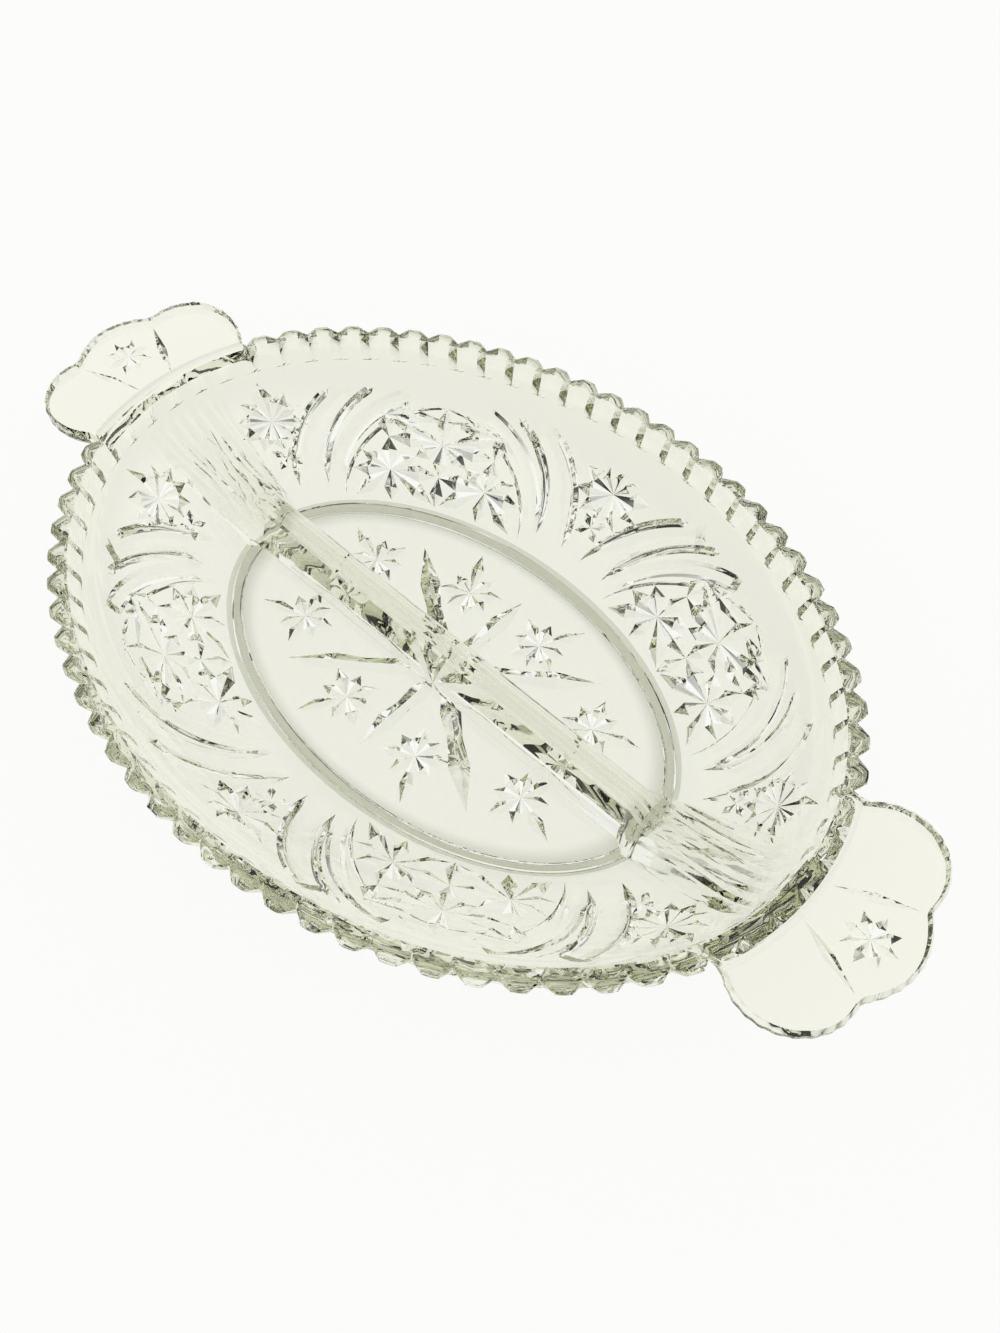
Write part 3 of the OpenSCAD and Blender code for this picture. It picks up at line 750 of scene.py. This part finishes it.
# Painted shade: the foot ring's flat is tinted dark olive, and so, less strongly, is the glass over it
# up to band_z, in place of the shade on the table under the ring. The mask of the band is the distance
# from the middle in plan, where 1 is the edge of the floor's oval.
flat_z, flat_fade_z, band_z = 0.0006, 0.0011, floor_z - 0.0025
band_from_share, band_to_share, band_shade_share = 0.88, 0.97, 0.75
axes = nodes.new("ShaderNodeSeparateXYZ")
on_flat = nodes.new("ShaderNodeMapRange")
on_flat.inputs["From Min"].default_value = flat_fade_z
on_flat.inputs["From Max"].default_value = flat_z
in_plan = nodes.new("ShaderNodeVectorMath")
in_plan.operation = "MULTIPLY"
in_plan.inputs[1].default_value = (2 / floor_len, 2 / floor_wid, 0)
from_middle = nodes.new("ShaderNodeVectorMath")
from_middle.operation = "LENGTH"
by_ring = nodes.new("ShaderNodeMapRange")
by_ring.interpolation_type = "SMOOTHSTEP"
by_ring.inputs["From Min"].default_value = band_from_share
by_ring.inputs["From Max"].default_value = band_to_share
by_ring.inputs["To Max"].default_value = band_shade_share
below = nodes.new("ShaderNodeMath")
below.operation = "LESS_THAN"
below.inputs[1].default_value = band_z
in_band = nodes.new("ShaderNodeMath")
in_band.operation = "MULTIPLY"
painted_shade_mask = nodes.new("ShaderNodeMath")
painted_shade_mask.operation = "MAXIMUM"
# The dark olive of the painted shade, mixed into the base colour by the band's mask
painted_shade_tint = nodes.new("ShaderNodeMix")
painted_shade_tint.data_type = "RGBA"
painted_shade_tint.inputs["A"].default_value = (1, 1, 0.995, 1)
painted_shade_tint.inputs["B"].default_value = (0.42, 0.44, 0.33, 1)
links.new(place.outputs["Object"], axes.inputs["Vector"])
links.new(axes.outputs["Z"], on_flat.inputs["Value"])
links.new(place.outputs["Object"], in_plan.inputs[0])
links.new(in_plan.outputs["Vector"], from_middle.inputs[0])
links.new(from_middle.outputs["Value"], by_ring.inputs["Value"])
links.new(axes.outputs["Z"], below.inputs[0])
links.new(by_ring.outputs["Result"], in_band.inputs[0])
links.new(below.outputs[0], in_band.inputs[1])
links.new(on_flat.outputs["Result"], painted_shade_mask.inputs[0])
links.new(in_band.outputs[0], painted_shade_mask.inputs[1])
links.new(painted_shade_mask.outputs[0], painted_shade_tint.inputs["Factor"])
links.new(painted_shade_tint.outputs["Result"], shader.inputs["Base Color"])
mesh.materials.append(glass)

# Table
# A plain pale table top, which isn't part of the object. The lens sees it nearly white with a soft
# shadow. Rays through or off the glass see it three quarters warm white and one quarter as lit.
table_size, table_gap = 3.0, 0.0002
lens_white_share, glass_white_share = 0.9, 0.75
table_mesh = bpy.data.meshes.new("table_top")
corners = np.array([(-1, -1), (1, -1), (1, 1), (-1, 1)]) * table_size
table_mesh.from_pydata([(x, y, -table_gap) for x, y in corners.tolist()], [], [(0, 1, 2, 3)])
table = bpy.data.objects.new("table_top", table_mesh)
bpy.context.scene.collection.objects.link(table)
pale = bpy.data.materials.new("pale_table")
pale.use_nodes = True
nodes, links = pale.node_tree.nodes, pale.node_tree.links
nodes.clear()
out = nodes.new("ShaderNodeOutputMaterial")
lit = nodes.new("ShaderNodeBsdfDiffuse")
lit.inputs["Color"].default_value = (0.88, 0.89, 0.73, 1)
bright = nodes.new("ShaderNodeEmission")
white = nodes.new("ShaderNodeMix")
white.data_type = "RGBA"
white.inputs["A"].default_value = (1, 1, 0.92, 1)
white.inputs["B"].default_value = (1, 1, 1, 1)
path = nodes.new("ShaderNodeLightPath")
by_glass = nodes.new("ShaderNodeMath")
by_glass.operation = "MAXIMUM"
glass_part = nodes.new("ShaderNodeMath")
glass_part.operation = "MULTIPLY"
glass_part.inputs[1].default_value = glass_white_share
lens_part = nodes.new("ShaderNodeMath")
lens_part.operation = "MULTIPLY"
lens_part.inputs[1].default_value = lens_white_share
white_part = nodes.new("ShaderNodeMath")
white_part.operation = "MAXIMUM"
blend = nodes.new("ShaderNodeMixShader")
links.new(path.outputs["Is Camera Ray"], white.inputs["Factor"])
links.new(white.outputs["Result"], bright.inputs["Color"])
links.new(path.outputs["Is Transmission Ray"], by_glass.inputs[0])
links.new(path.outputs["Is Glossy Ray"], by_glass.inputs[1])
links.new(by_glass.outputs[0], glass_part.inputs[0])
links.new(path.outputs["Is Camera Ray"], lens_part.inputs[0])
links.new(lens_part.outputs[0], white_part.inputs[0])
links.new(glass_part.outputs[0], white_part.inputs[1])
links.new(white_part.outputs[0], blend.inputs["Fac"])
links.new(lit.outputs[0], blend.inputs[1])
links.new(bright.outputs[0], blend.inputs[2])
links.new(blend.outputs[0], out.inputs["Surface"])
table_mesh.materials.append(pale)

# Light
# A soft studio with no lamps. The lens sees a white backdrop, and matt surfaces are lit evenly. The
# glass sees a room that is white overhead and dark low down, which draws dark lines on its facets.
overhead = Vector((-0.15, 0.3, 0.94)).normalized()
world = bpy.data.worlds.new("studio")
bpy.context.scene.world = world
world.use_nodes = True
nodes, links = world.node_tree.nodes, world.node_tree.links
nodes.clear()
out = nodes.new("ShaderNodeOutputWorld")
even = nodes.new("ShaderNodeBackground")
even.inputs["Color"].default_value = (0.95, 0.96, 0.95, 1)
even.inputs["Strength"].default_value = 0.9
backdrop = nodes.new("ShaderNodeBackground")
backdrop.inputs["Color"].default_value = (1, 1, 1, 1)
room = nodes.new("ShaderNodeBackground")
direction = nodes.new("ShaderNodeTexCoord")
aim = nodes.new("ShaderNodeVectorMath")
aim.operation = "DOT_PRODUCT"
aim.inputs[1].default_value = overhead
shades = nodes.new("ShaderNodeValToRGB")
shades.color_ramp.elements[0].position = 0.42
shades.color_ramp.elements[0].color = (0.02, 0.022, 0.015, 1)
shades.color_ramp.elements[1].position = 0.7
shades.color_ramp.elements[1].color = (1, 1, 1, 1)
links.new(direction.outputs["Generated"], aim.inputs[0])
links.new(aim.outputs["Value"], shades.inputs["Fac"])
links.new(shades.outputs["Color"], room.inputs["Color"])
path = nodes.new("ShaderNodeLightPath")
by_glass = nodes.new("ShaderNodeMath")
by_glass.operation = "MAXIMUM"
even_or_room = nodes.new("ShaderNodeMixShader")
or_backdrop = nodes.new("ShaderNodeMixShader")
links.new(path.outputs["Is Glossy Ray"], by_glass.inputs[0])
links.new(path.outputs["Is Transmission Ray"], by_glass.inputs[1])
links.new(by_glass.outputs[0], even_or_room.inputs["Fac"])
links.new(even.outputs[0], even_or_room.inputs[1])
links.new(room.outputs[0], even_or_room.inputs[2])
links.new(path.outputs["Is Camera Ray"], or_backdrop.inputs["Fac"])
links.new(even_or_room.outputs[0], or_backdrop.inputs[1])
links.new(backdrop.outputs[0], or_backdrop.inputs[2])
links.new(or_backdrop.outputs[0], out.inputs["Surface"])

# Camera
# It looks down on the tray from near one handle, at the photograph's viewing angle. The limits on
# bounces are raised because with the default ones the rim and the divider show black spots.
target = Vector((0.0091, 0.01133, 0.0017))
distance, azimuth, elevation = 0.30335, math.radians(43.43), math.radians(56.82)
lens = bpy.data.cameras.new("camera")
lens.lens = 31.63
lens.clip_start = 0.01
camera = bpy.data.objects.new("camera", lens)
bpy.context.scene.collection.objects.link(camera)
flat_part = math.cos(elevation)
camera.location = target + distance * Vector((
    math.sin(azimuth) * flat_part, -math.cos(azimuth) * flat_part, math.sin(elevation)))
camera.rotation_euler = (target - camera.location).to_track_quat("-Z", "Y").to_euler()
bpy.context.scene.camera = camera
bpy.context.scene.view_settings.view_transform = "Standard"
bpy.context.scene.cycles.max_bounces = 20
bpy.context.scene.cycles.glossy_bounces = 10
bpy.context.scene.cycles.transmission_bounces = 16
